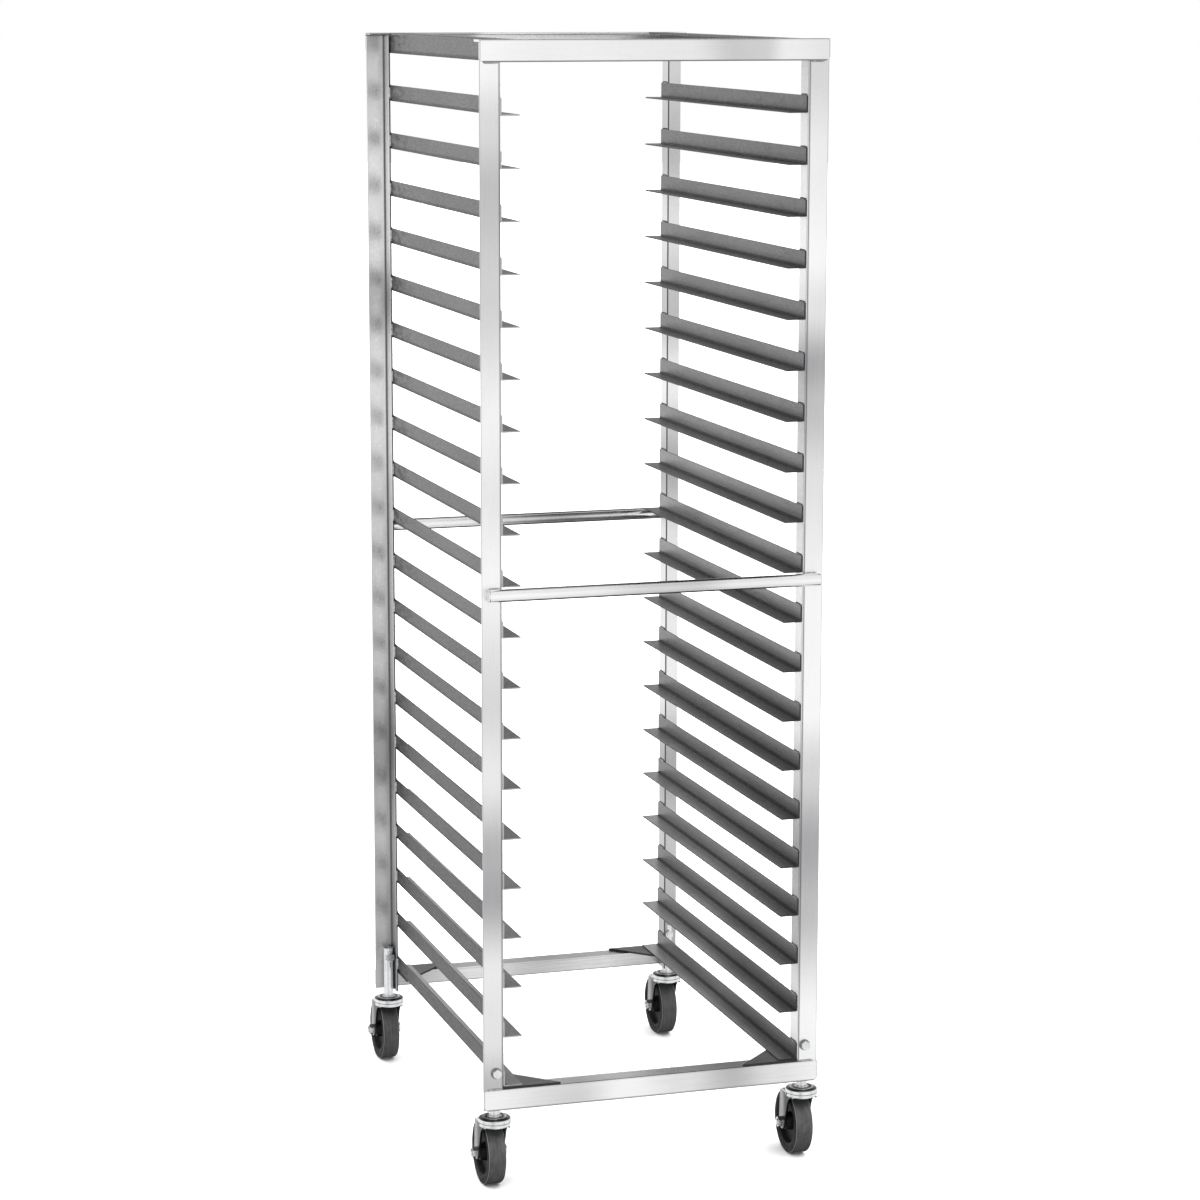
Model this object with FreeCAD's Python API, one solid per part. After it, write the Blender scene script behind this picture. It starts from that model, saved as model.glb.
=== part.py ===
"""Sheet pan rack: an open frame of aluminium angle with twenty pairs of ledges, on four swivel casters.

Millimetres. +Z is up, +X is to the right of someone at the front, and -Y is the front, where pans go in.
The origin is on the floor under the middle of the frame. Level 01 is the top pair of ledges.
Every caster points straight back, as it does after the rack has been pushed forwards.
"""

import FreeCAD, Part
import math
import os

from FreeCAD import Vector

# Frame: posts, rails and bars
FRAME_WIDTH = 533.4            # over the posts
FRAME_DEPTH = 685.8            # over the posts
FRAME_BOTTOM = 127.5           # floor to the lower end of the posts
ANGLE_LEG = 31.75              # both legs of the frame's angle
ANGLE_THICKNESS = 3.2
ANGLE_HEEL_RADIUS = 3.0
ANGLE_ROOT_RADIUS = 1.0
ANGLE_TOE_RADIUS = 1.2
POST_TOP_GAP = 1.5             # post end to the underside of the top rail
FLANGE_GAP = 0.3               # side rail's top flange to the front and rear rails' flanges
RAIL_CORNER_CUT = 5.0          # chamfer on the lower corners of the front and rear rails
GUSSET_LEG = 89.0
GUSSET_THICKNESS = 3.2
BAR_DIAMETER = 19.05
BAR_INSET = 8.0                # bar end to the outer edge of the post
BAR_EDGE_RADIUS = 1.5
BAR_LEVEL = 10                 # the bars' tops are level with the underside of this ledge

# Ledges
LEVELS = 20
LEDGE_PITCH = 76.2
LEDGE_HEIGHT = 25.4
LEDGE_WIDTH = 29.2
LEDGE_THICKNESS = 2.0
LEDGE_HEEL_RADIUS = 2.0
LEDGE_ROOT_RADIUS = 0.8
LEDGE_TOE_RADIUS = 0.7
LEDGE_INSET = 2.5              # ledge end to the outer face of the post

# Caster: stem, raceway and fork
STEM_RADIUS = 8.5
STEM_TOP = 200.5
STEM_TO_POST = 0.15            # clearance between the stem and each leg of its post
STEM_EDGE = 1.0
COLLAR_RADIUS = 11.5
COLLAR_HEIGHT = 2.4
CAP_RADIUS = 24.5
CAP_WALL = 3.0
CAP_SHOULDER_Z = 113.0         # top of the cap's wall
CAP_SHOULDER_RADIUS = 1.8
CAP_TOP = 115.2
CAP_RING_OUTER = 18.0          # raised ring round the dished middle of the cap
CAP_RING_INNER = 16.2
CAP_DISH_DEPTH = 1.6
RACEWAY_GAP = 0.6              # between the fixed cap's rim and the turning cup's rim
CUP_RIM_Z = 106.6
CUP_BASE_RADIUS = 1.8          # rounded lower edge of the cup
CROWN_TOP = 104.0
CROWN_THICKNESS = 3.0
KINGPIN_RADIUS = 5.5
KINGPIN_CLEARANCE = 0.05
KINGPIN_HEAD_RADIUS = 9.0
KINGPIN_HEAD_HEIGHT = 3.2
PARTS_GAP = 0.3                # between neighbours that turn past each other
BALL_RADIUS = 2.8
BALL_CIRCLE_RADIUS = 17.0
BALL_COUNT = 16
FORK_HALF_WIDTH = 20.5         # stem axis to the outer face of a fork leg
FORK_SHOULDER_RADIUS = 5.0
FORK_SHOULDER_ROOT = 2.0
FORK_FRONT_Y = -16.0           # front edge of the crown, from the stem axis
FORK_ARCH_Y = -14.0            # centre of the arch between the crown and the front of a leg
FORK_ARCH_Z = 77.0
FORK_ARCH_RADIUS = 22.6
FORK_BACK_Y = 39.0
FORK_BACK_RADIUS = 7.0
BOSS_RADIUS = 11.0             # rounded end of a fork leg, round the axle
CASTER_TRAIL = 31.0            # stem axis to axle

# Wheel and axle
WHEEL_RADIUS = 50.0
TYRE_INNER_RADIUS = 40.0
TYRE_WIDTH = 28.0
TYRE_SHOULDER = 3.0
RIM_WIDTH = 25.0
RIM_INNER_RADIUS = 35.0
WEB_WIDTH = 11.0
HUB_WIDTH = 31.0
HUB_RADIUS = 12.5
HUB_DRAFT = 2.0                # how far the hub widens towards the web
AXLE_RADIUS = 5.0
AXLE_BORE_CLEARANCE = 0.05
AXLE_HOLE_CLEARANCE = 0.1
AXLE_HEX_FLATS = 15.0
AXLE_HEAD_HEIGHT = 6.0
AXLE_NUT_HEIGHT = 7.0
AXLE_END = 1.5                 # threaded end beyond the nut

# Stem bolts
BOLT_Z = 185.0
BOLT_RADIUS = 4.0
BOLT_HOLE_CLEARANCE = 0.3
BOLT_HEX_FLATS = 13.0
BOLT_HEAD_HEIGHT = 5.3
BOLT_NUT_HEIGHT = 6.5
BOLT_END = 1.0
WASHER_RADIUS = 8.5
WASHER_THICKNESS = 1.5
WASHER_CLEARANCE = 0.3
NUT_THREAD_CLEARANCE = 0.1
HEX_CHAMFER_FLAT = 0.96        # width of a hexagon's round end face, as a share of its flats
HEX_CHAMFER_ANGLE = 30.0

# Worked out from the above
HEEL_X = FRAME_WIDTH / 2 - ANGLE_LEG
POST_Y = FRAME_DEPTH / 2
RAIL_FACE_Y = POST_Y + ANGLE_THICKNESS
BOTTOM_RAIL_TOP = FRAME_BOTTOM + ANGLE_LEG
LOWEST_LEDGE = BOTTOM_RAIL_TOP + GUSSET_THICKNESS
TOP_LEDGE = LOWEST_LEDGE + (LEVELS - 1) * LEDGE_PITCH
FRAME_TOP = TOP_LEDGE + LEDGE_PITCH + ANGLE_LEG
STEM_OFFSET = ANGLE_THICKNESS + STEM_TO_POST + STEM_RADIUS
STEM_X = HEEL_X + STEM_OFFSET
STEM_Y = POST_Y - STEM_OFFSET
CROWN_BOTTOM = CROWN_TOP - CROWN_THICKNESS
CUP_INNER_RADIUS = CAP_RADIUS - CAP_WALL
CAP_RIM_Z = CUP_RIM_Z + RACEWAY_GAP
BALL_Z = CROWN_TOP + PARTS_GAP + BALL_RADIUS
CAP_UNDERSIDE = BALL_Z + BALL_RADIUS + PARTS_GAP
CAP_DISH_Z = CAP_TOP - CAP_DISH_DEPTH
COLLAR_TOP = CAP_DISH_Z + COLLAR_HEIGHT

CORNERS = {
    "front_left": (-1, -1),
    "front_right": (1, -1),
    "rear_left": (-1, 1),
    "rear_right": (1, 1),
}
X_AXIS = Vector(1, 0, 0)
Y_AXIS = Vector(0, 1, 0)
Z_AXIS = Vector(0, 0, 1)
ARC_MIDDLE = 1 - math.cos(math.pi / 4)
EDGE_MATCH = 0.001


def save(name, shape):
    """Write one node."""
    shape.exportStep(os.path.join("parts", name + ".step"))


def box(low, high):
    """A box between two opposite corners."""
    size = high - low
    return Part.makeBox(size.x, size.y, size.z, low)


def ledge_z(level):
    """Underside of a level's ledges, counted from 1 at the top."""
    return TOP_LEDGE - (level - 1) * LEDGE_PITCH


def arc(start, middle, end):
    """An arc through three points."""
    return Part.Arc(start, middle, end).toShape()


def angle_bar(heel, leg_a, leg_b, thickness, heel_radius, root_radius, toe_radius, run):
    """A bar of angle: the legs are vectors from the heel edge, and run is its length."""
    along_a = Vector(leg_a).normalize()
    along_b = Vector(leg_b).normalize()

    def at(a, b):
        return heel + along_a * a + along_b * b

    end_a = leg_a.Length
    end_b = leg_b.Length
    heel_middle = heel_radius * ARC_MIDDLE
    root = thickness + root_radius
    root_middle = thickness + root_radius * ARC_MIDDLE
    toe = thickness - toe_radius
    toe_middle = toe_radius * ARC_MIDDLE
    edges = [
        arc(at(0, heel_radius), at(heel_middle, heel_middle), at(heel_radius, 0)),
        Part.makeLine(at(heel_radius, 0), at(end_a, 0)),
        Part.makeLine(at(end_a, 0), at(end_a, toe)),
        arc(
            at(end_a, toe),
            at(end_a - toe_middle, thickness - toe_middle),
            at(end_a - toe_radius, thickness),
        ),
        Part.makeLine(at(end_a - toe_radius, thickness), at(root, thickness)),
        arc(at(root, thickness), at(root_middle, root_middle), at(thickness, root)),
        Part.makeLine(at(thickness, root), at(thickness, end_b - toe_radius)),
        arc(
            at(thickness, end_b - toe_radius),
            at(thickness - toe_middle, end_b - toe_middle),
            at(toe, end_b),
        ),
        Part.makeLine(at(toe, end_b), at(0, end_b)),
        Part.makeLine(at(0, end_b), at(0, heel_radius)),
    ]
    return Part.Face(Part.Wire(edges)).extrude(run)


def frame_angle(heel, leg_a, leg_b, run):
    """A bar of the frame's own angle."""
    return angle_bar(
        heel,
        leg_a,
        leg_b,
        ANGLE_THICKNESS,
        ANGLE_HEEL_RADIUS,
        ANGLE_ROOT_RADIUS,
        ANGLE_TOE_RADIUS,
        run,
    )


def turned(profile, axis):
    """A solid of revolution about an axis through the origin, from a closed list of points."""
    face = Part.Face(Part.makePolygon(profile + profile[:1]))
    return face.revolve(Vector(0, 0, 0), axis, 360)


def hexagon(flats, base, direction, height):
    """A bolt head or nut with two corners up and down, its outer end chamfered."""
    corner = flats / math.sqrt(3)
    across = direction.cross(Z_AXIS)
    points = []
    for k in range(6):
        turn = math.radians(60 * k)
        upwards = Z_AXIS * (corner * math.cos(turn))
        points.append(base + upwards + across * (corner * math.sin(turn)))
    prism = Part.Face(Part.makePolygon(points + points[:1])).extrude(direction * height)
    end_radius = HEX_CHAMFER_FLAT * flats / 2
    base_radius = end_radius + height / math.tan(math.radians(HEX_CHAMFER_ANGLE))
    cone = Part.makeCone(base_radius, end_radius, height, base, direction)
    return prism.common(cone)


def post(side, end):
    """A corner post: its heel is the inner corner, so both legs face outwards."""
    heel = Vector(side * HEEL_X, end * POST_Y, FRAME_BOTTOM)
    top = FRAME_TOP - ANGLE_THICKNESS - POST_TOP_GAP
    bar = frame_angle(
        heel,
        Vector(side * ANGLE_LEG, 0, 0),
        Vector(0, -end * ANGLE_LEG, 0),
        Z_AXIS * (top - FRAME_BOTTOM),
    )
    hole_start = Vector(side * STEM_X, end * (POST_Y + ANGLE_THICKNESS), BOLT_Z)
    hole = Part.makeCylinder(
        BOLT_RADIUS + BOLT_HOLE_CLEARANCE, 3 * ANGLE_THICKNESS, hole_start, Y_AXIS * -end
    )
    return bar.cut(hole)


def cross_rail(end, top):
    """A front or rear rail: its upright leg lies on the posts and its flange points inwards."""
    rail = frame_angle(
        Vector(-FRAME_WIDTH / 2, end * RAIL_FACE_Y, top),
        Vector(0, 0, -ANGLE_LEG),
        Vector(0, -end * ANGLE_LEG, 0),
        X_AXIS * FRAME_WIDTH,
    )
    return rail.cut(Part.makeCompound([corner_cut(side, end, top) for side in (-1, 1)]))


def corner_cut(side, end, top):
    """The triangle taken off a lower corner of a front or rear rail."""
    corner = Vector(side * FRAME_WIDTH / 2, end * RAIL_FACE_Y, top - ANGLE_LEG)
    points = [
        corner,
        corner + Z_AXIS * RAIL_CORNER_CUT,
        corner - X_AXIS * (side * RAIL_CORNER_CUT),
    ]
    face = Part.Face(Part.makePolygon(points + points[:1]))
    return face.extrude(Y_AXIS * (-end * 2 * ANGLE_THICKNESS))


def bottom_rail(end):
    """A bottom rail: the flange is cut away at both ends to pass between the posts."""
    rail = cross_rail(end, BOTTOM_RAIL_TOP)
    notches = []
    for side in (-1, 1):
        inner = Vector(side * (HEEL_X - FLANGE_GAP), end * POST_Y, FRAME_BOTTOM)
        outer = Vector(side * FRAME_WIDTH, end * (POST_Y - 2 * ANGLE_LEG), BOTTOM_RAIL_TOP + 1)
        low = Vector(min(inner.x, outer.x), min(inner.y, outer.y), inner.z)
        high = Vector(max(inner.x, outer.x), max(inner.y, outer.y), outer.z)
        notches.append(box(low, high))
    return rail.cut(Part.makeCompound(notches))


def side_rail(side):
    """A top side rail: its web runs from front to rear, and its flange stops at the cross rails."""
    flange_y = RAIL_FACE_Y - ANGLE_LEG - FLANGE_GAP
    flanged = frame_angle(
        Vector(side * HEEL_X, -flange_y, FRAME_TOP),
        Vector(0, 0, -ANGLE_LEG),
        Vector(-side * ANGLE_LEG, 0, 0),
        Y_AXIS * (2 * flange_y),
    )
    web_x = sorted((side * HEEL_X, side * (HEEL_X - ANGLE_THICKNESS)))
    web_top = FRAME_TOP - ANGLE_THICKNESS - POST_TOP_GAP
    web = box(
        Vector(web_x[0], -POST_Y, FRAME_TOP - ANGLE_LEG), Vector(web_x[1], POST_Y, web_top)
    )
    return flanged.fuse(web).removeSplitter()


def cross_bar(end):
    """A round bar welded across the outer faces of the two front or rear posts."""
    length = FRAME_WIDTH - 2 * BAR_INSET
    centre_z = ledge_z(BAR_LEVEL) - BAR_DIAMETER / 2
    start = Vector(-length / 2, end * (POST_Y + BAR_DIAMETER / 2), centre_z)
    bar = Part.makeCylinder(BAR_DIAMETER / 2, length, start, X_AXIS)
    rims = [edge for edge in bar.Edges if isinstance(edge.Curve, Part.Circle)]
    return bar.makeFillet(BAR_EDGE_RADIUS, rims)


def ledge(side, level):
    """One ledge: an upright flange on the posts' heels and a flat one that the pan's rim rests on."""
    return angle_bar(
        Vector(side * HEEL_X, LEDGE_INSET - POST_Y, ledge_z(level)),
        Vector(0, 0, LEDGE_HEIGHT),
        Vector(-side * LEDGE_WIDTH, 0, 0),
        LEDGE_THICKNESS,
        LEDGE_HEEL_RADIUS,
        LEDGE_ROOT_RADIUS,
        LEDGE_TOE_RADIUS,
        Y_AXIS * (FRAME_DEPTH - 2 * LEDGE_INSET),
    )


def gusset(side, end):
    """A flat triangle that squares a bottom corner, on the bottom rail and under the lowest ledge."""
    corner = Vector(side * HEEL_X, end * POST_Y, BOTTOM_RAIL_TOP)
    points = [
        corner,
        corner - X_AXIS * (side * GUSSET_LEG),
        corner - Y_AXIS * (end * GUSSET_LEG),
    ]
    return Part.Face(Part.makePolygon(points + points[:1])).extrude(Z_AXIS * GUSSET_THICKNESS)


def stem_washer(side, end):
    """The washer under the head of a stem bolt."""
    outwards = Y_AXIS * end
    face = Vector(side * STEM_X, end * POST_Y, BOLT_Z)
    hole = Part.makeCylinder(BOLT_RADIUS + WASHER_CLEARANCE, WASHER_THICKNESS, face, outwards)
    return Part.makeCylinder(WASHER_RADIUS, WASHER_THICKNESS, face, outwards).cut(hole)


def stem_bolt(side, end):
    """The bolt that holds a caster's stem: its head is on the outer face of the post."""
    inwards = Y_AXIS * -end
    face = Vector(side * STEM_X, end * (POST_Y + WASHER_THICKNESS), BOLT_Z)
    grip = WASHER_THICKNESS + STEM_OFFSET + STEM_RADIUS + NUT_THREAD_CLEARANCE
    reach = grip + BOLT_NUT_HEIGHT + BOLT_END
    head = hexagon(BOLT_HEX_FLATS, face, inwards * -1, BOLT_HEAD_HEIGHT)
    return head.fuse(Part.makeCylinder(BOLT_RADIUS, reach, face, inwards))


def stem_nut(side, end):
    """The nut on a stem bolt, against the inner side of the stem."""
    inwards = Y_AXIS * -end
    start = STEM_OFFSET + STEM_RADIUS + NUT_THREAD_CLEARANCE
    base = Vector(side * STEM_X, end * (POST_Y - start), BOLT_Z)
    bore = Part.makeCylinder(BOLT_RADIUS + NUT_THREAD_CLEARANCE, BOLT_NUT_HEIGHT, base, inwards)
    return hexagon(BOLT_HEX_FLATS, base, inwards, BOLT_NUT_HEIGHT).cut(bore)


def round_edge(shape, radius, z, fillet):
    """Fillet the one circular edge of that radius at that height."""
    rims = [
        edge
        for edge in shape.Edges
        if isinstance(edge.Curve, Part.Circle)
        and abs(edge.Curve.Radius - radius) < EDGE_MATCH
        and abs(edge.Curve.Center.z - z) < EDGE_MATCH
    ]
    return shape.makeFillet(fillet, rims)


def caster_stem():
    """Stem, raceway cap and kingpin, which stay still while the fork turns under them."""
    head_top = CROWN_BOTTOM - PARTS_GAP
    profile = [
        Vector(0, 0, head_top - KINGPIN_HEAD_HEIGHT),
        Vector(KINGPIN_HEAD_RADIUS, 0, head_top - KINGPIN_HEAD_HEIGHT),
        Vector(KINGPIN_HEAD_RADIUS, 0, head_top),
        Vector(KINGPIN_RADIUS, 0, head_top),
        Vector(KINGPIN_RADIUS, 0, CAP_UNDERSIDE),
        Vector(CUP_INNER_RADIUS, 0, CAP_UNDERSIDE),
        Vector(CUP_INNER_RADIUS, 0, CAP_RIM_Z),
        Vector(CAP_RADIUS, 0, CAP_RIM_Z),
        Vector(CAP_RADIUS, 0, CAP_SHOULDER_Z),
        Vector(CAP_RING_OUTER, 0, CAP_TOP),
        Vector(CAP_RING_INNER, 0, CAP_TOP),
        Vector(CAP_RING_INNER - CAP_DISH_DEPTH, 0, CAP_DISH_Z),
        Vector(COLLAR_RADIUS, 0, CAP_DISH_Z),
        Vector(COLLAR_RADIUS, 0, COLLAR_TOP),
        Vector(STEM_RADIUS, 0, COLLAR_TOP),
        Vector(STEM_RADIUS, 0, STEM_TOP - STEM_EDGE),
        Vector(STEM_RADIUS - STEM_EDGE, 0, STEM_TOP),
        Vector(0, 0, STEM_TOP),
    ]
    hole = Part.makeCylinder(
        BOLT_RADIUS + BOLT_HOLE_CLEARANCE,
        4 * STEM_RADIUS,
        Vector(0, -2 * STEM_RADIUS, BOLT_Z),
        Y_AXIS,
    )
    blank = round_edge(turned(profile, Z_AXIS), CAP_RADIUS, CAP_SHOULDER_Z, CAP_SHOULDER_RADIUS)
    return blank.cut(hole)


def bearing_balls():
    """The ring of balls between the crown and the cap."""
    balls = []
    for k in range(BALL_COUNT):
        turn = 2 * math.pi * k / BALL_COUNT
        y = BALL_CIRCLE_RADIUS * math.sin(turn)
        centre = Vector(BALL_CIRCLE_RADIUS * math.cos(turn), y, BALL_Z)
        balls.append(Part.makeSphere(BALL_RADIUS, centre))
    return Part.makeCompound(balls)


def fork_channel():
    """The fork seen from the front: a plate folded down on both sides of the wheel."""
    outer = FORK_HALF_WIDTH
    inner = FORK_HALF_WIDTH - CROWN_THICKNESS
    outer_round = FORK_SHOULDER_RADIUS
    inner_round = FORK_SHOULDER_ROOT
    foot = WHEEL_RADIUS - 2 * BOSS_RADIUS
    start_y = FORK_FRONT_Y - CAP_RADIUS

    def at(x, z):
        return Vector(x, start_y, z)

    edges = [Part.makeLine(at(-outer + outer_round, CROWN_TOP), at(outer - outer_round, CROWN_TOP))]
    for side in (1, -1):
        near = outer_round * ARC_MIDDLE
        deep = inner_round * ARC_MIDDLE
        edges += [
            arc(
                at(side * (outer - outer_round), CROWN_TOP),
                at(side * (outer - near), CROWN_TOP - near),
                at(side * outer, CROWN_TOP - outer_round),
            ),
            Part.makeLine(at(side * outer, CROWN_TOP - outer_round), at(side * outer, foot)),
            Part.makeLine(at(side * outer, foot), at(side * inner, foot)),
            Part.makeLine(at(side * inner, foot), at(side * inner, CROWN_BOTTOM - inner_round)),
            arc(
                at(side * inner, CROWN_BOTTOM - inner_round),
                at(side * (inner - deep), CROWN_BOTTOM - deep),
                at(side * (inner - inner_round), CROWN_BOTTOM),
            ),
        ]
    edges.append(
        Part.makeLine(at(-inner + inner_round, CROWN_BOTTOM), at(inner - inner_round, CROWN_BOTTOM))
    )
    length = FORK_BACK_Y + BOSS_RADIUS - start_y
    return Part.Face(Part.Wire(Part.__sortEdges__(edges))).extrude(Y_AXIS * length)


def fork_outline():
    """The fork seen from the side, as a block to trim the channel with."""
    start_x = -2 * FORK_HALF_WIDTH
    above = CROWN_TOP + 1
    back_middle = FORK_BACK_RADIUS * ARC_MIDDLE
    run = CASTER_TRAIL - FORK_ARCH_Y
    drop = FORK_ARCH_Z - WHEEL_RADIUS
    tangent_turn = math.acos((FORK_ARCH_RADIUS + BOSS_RADIUS) / math.hypot(run, drop))
    leg_turn = tangent_turn - math.atan2(drop, run)
    front_turn = math.acos((FORK_FRONT_Y - FORK_ARCH_Y) / FORK_ARCH_RADIUS)

    def at(y, z):
        return Vector(start_x, y, z)

    def on_arch(turn):
        return at(
            FORK_ARCH_Y + FORK_ARCH_RADIUS * math.cos(turn),
            FORK_ARCH_Z + FORK_ARCH_RADIUS * math.sin(turn),
        )

    def on_boss(turn):
        return at(
            CASTER_TRAIL + BOSS_RADIUS * math.cos(turn),
            WHEEL_RADIUS + BOSS_RADIUS * math.sin(turn),
        )

    arch_start = on_arch(front_turn)
    arch_end = on_arch(leg_turn)
    boss_start = on_boss(math.pi + leg_turn)
    boss_end = on_boss(2 * math.pi)
    back_low = at(FORK_BACK_Y, CROWN_TOP - FORK_BACK_RADIUS)
    back_high = at(FORK_BACK_Y - FORK_BACK_RADIUS, CROWN_TOP)
    front_corner = at(FORK_FRONT_Y, above)
    back_corner = at(FORK_BACK_Y - FORK_BACK_RADIUS, above)
    edges = [
        Part.makeLine(front_corner, arch_start),
        arc(arch_start, on_arch((front_turn + leg_turn) / 2), arch_end),
        Part.makeLine(arch_end, boss_start),
        arc(boss_start, on_boss((3 * math.pi + leg_turn) / 2), boss_end),
        Part.makeLine(boss_end, back_low),
        arc(back_low, at(FORK_BACK_Y - back_middle, CROWN_TOP - back_middle), back_high),
        Part.makeLine(back_high, back_corner),
        Part.makeLine(back_corner, front_corner),
    ]
    return Part.Face(Part.Wire(edges)).extrude(X_AXIS * (4 * FORK_HALF_WIDTH))


def caster_fork():
    """Fork: the folded plate, the cup that holds the balls, and holes for kingpin and axle."""
    crown_base = Vector(0, 0, CROWN_BOTTOM)
    rim_height = CUP_RIM_Z - CROWN_BOTTOM
    blank = Part.makeCylinder(CAP_RADIUS, rim_height, crown_base)
    cup = round_edge(blank, CAP_RADIUS, CROWN_BOTTOM, CUP_BASE_RADIUS)
    ball_room = Part.makeCylinder(CUP_INNER_RADIUS, rim_height, Vector(0, 0, CROWN_TOP))
    kingpin_hole = Part.makeCylinder(
        KINGPIN_RADIUS + KINGPIN_CLEARANCE, 2 * CROWN_THICKNESS, crown_base - Z_AXIS
    )
    axle_hole = Part.makeCylinder(
        AXLE_RADIUS + AXLE_HOLE_CLEARANCE,
        4 * FORK_HALF_WIDTH,
        Vector(-2 * FORK_HALF_WIDTH, CASTER_TRAIL, WHEEL_RADIUS),
        X_AXIS,
    )
    plate = fork_channel().common(fork_outline())
    return plate.fuse(cup).cut(ball_room).cut(kingpin_hole).cut(axle_hole).removeSplitter()


def wheel_axle():
    """The axle bolt and its nut, clamped on the outer faces of the fork."""
    right_face = Vector(FORK_HALF_WIDTH, CASTER_TRAIL, WHEEL_RADIUS)
    left_face = Vector(-FORK_HALF_WIDTH, CASTER_TRAIL, WHEEL_RADIUS)
    reach = 2 * FORK_HALF_WIDTH + AXLE_NUT_HEIGHT + AXLE_END
    shank = Part.makeCylinder(AXLE_RADIUS, reach, right_face, X_AXIS * -1)
    bolt = hexagon(AXLE_HEX_FLATS, right_face, X_AXIS, AXLE_HEAD_HEIGHT).fuse(shank)
    outwards = X_AXIS * -1
    bore = Part.makeCylinder(AXLE_RADIUS + NUT_THREAD_CLEARANCE, AXLE_NUT_HEIGHT, left_face, outwards)
    nut = hexagon(AXLE_HEX_FLATS, left_face, outwards, AXLE_NUT_HEIGHT).cut(bore)
    return Part.makeCompound([bolt, nut])


def on_axle(shape):
    """Move a wheel piece, made round the X axis, to the axle."""
    shape.translate(Vector(0, CASTER_TRAIL, WHEEL_RADIUS))
    return shape


def wheel_core():
    """The wheel's moulded centre: hub, web and rim."""
    bore = AXLE_RADIUS + AXLE_BORE_CLEARANCE
    right_half = [
        Vector(HUB_WIDTH / 2, 0, bore),
        Vector(HUB_WIDTH / 2, 0, HUB_RADIUS),
        Vector(WEB_WIDTH / 2, 0, HUB_RADIUS + HUB_DRAFT),
        Vector(WEB_WIDTH / 2, 0, RIM_INNER_RADIUS - HUB_DRAFT),
        Vector(RIM_WIDTH / 2, 0, RIM_INNER_RADIUS),
        Vector(RIM_WIDTH / 2, 0, TYRE_INNER_RADIUS),
    ]
    left_half = [Vector(-point.x, 0, point.z) for point in reversed(right_half)]
    return on_axle(turned(right_half + left_half, X_AXIS))


def wheel_tyre():
    """The rubber tyre: a flat tread with rounded shoulders."""
    blank = Part.makeCylinder(WHEEL_RADIUS, TYRE_WIDTH, Vector(-TYRE_WIDTH / 2, 0, 0), X_AXIS)
    rims = [edge for edge in blank.Edges if isinstance(edge.Curve, Part.Circle)]
    bore = Part.makeCylinder(TYRE_INNER_RADIUS, TYRE_WIDTH, Vector(-TYRE_WIDTH / 2, 0, 0), X_AXIS)
    return on_axle(blank.makeFillet(TYRE_SHOULDER, rims).cut(bore))


def save_frame():
    """Posts, rails, bars, ledges and gussets."""
    for name, (side, end) in CORNERS.items():
        save("post_" + name, post(side, end))
    for name, end in (("front", -1), ("rear", 1)):
        save("top_rail_" + name, cross_rail(end, FRAME_TOP))
        save("bottom_rail_" + name, bottom_rail(end))
        save("cross_bar_" + name, cross_bar(end))
    for name, side in (("left", -1), ("right", 1)):
        save("top_rail_" + name, side_rail(side))
    for level in range(1, LEVELS + 1):
        pair = [ledge(side, level) for side in (-1, 1)]
        save("ledge_pair_%02d" % level, Part.makeCompound(pair))
    save("corner_gussets", Part.makeCompound([gusset(*corner) for corner in CORNERS.values()]))


def save_casters():
    """The four casters and the bolts, nuts and washers that hold their stems."""
    makers = {
        "caster_stem": caster_stem,
        "swivel_balls": bearing_balls,
        "caster_fork": caster_fork,
        "wheel_axle": wheel_axle,
        "wheel_core": wheel_core,
        "wheel_tyre": wheel_tyre,
    }
    for kind, make in makers.items():
        for name, (side, end) in CORNERS.items():
            piece = make()
            piece.translate(Vector(side * STEM_X, end * STEM_Y, 0))
            save(kind + "_" + name, piece)
    for name, make in (("bolts", stem_bolt), ("nuts", stem_nut), ("washers", stem_washer)):
        save("stem_" + name, Part.makeCompound([make(*corner) for corner in CORNERS.values()]))


os.makedirs("parts", exist_ok=True)
save_frame()
save_casters()
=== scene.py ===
import math

import bmesh
import bpy
from mathutils import Matrix, Vector


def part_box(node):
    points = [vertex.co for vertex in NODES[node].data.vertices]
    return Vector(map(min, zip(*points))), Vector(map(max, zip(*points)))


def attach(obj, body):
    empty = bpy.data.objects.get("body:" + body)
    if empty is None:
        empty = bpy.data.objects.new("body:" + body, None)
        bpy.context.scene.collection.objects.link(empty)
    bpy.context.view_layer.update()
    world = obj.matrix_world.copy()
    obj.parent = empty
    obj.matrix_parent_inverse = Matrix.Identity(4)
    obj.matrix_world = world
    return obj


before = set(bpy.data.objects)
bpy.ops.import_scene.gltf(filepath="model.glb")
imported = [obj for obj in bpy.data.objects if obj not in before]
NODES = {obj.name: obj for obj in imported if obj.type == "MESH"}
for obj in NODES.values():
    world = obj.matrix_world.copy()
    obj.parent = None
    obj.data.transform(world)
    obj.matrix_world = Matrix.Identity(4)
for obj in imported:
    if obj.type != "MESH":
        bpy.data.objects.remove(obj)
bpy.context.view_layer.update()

# Each corner's side and end: -1 is left or front, and 1 is right or rear
CORNERS = {"front_left": (-1, -1), "front_right": (1, -1), "rear_left": (-1, 1), "rear_right": (1, 1)}
X, Y, Z = range(3)


# ---------------------------------------------------------------- places on the rack, in metres

ANGLE_THICKNESS = 0.0032
POST_HEEL_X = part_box("post_front_right")[0][X]
POST_HEEL_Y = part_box("post_rear_right")[1][Y]
POST_ROOT = (POST_HEEL_X + ANGLE_THICKNESS, POST_HEEL_Y - ANGLE_THICKNESS)
RAIL_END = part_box("top_rail_front")[1][X]
TOP_RAIL_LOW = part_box("top_rail_front")[0][Z]
BOTTOM_RAIL_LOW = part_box("bottom_rail_front")[0][Z]

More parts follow.
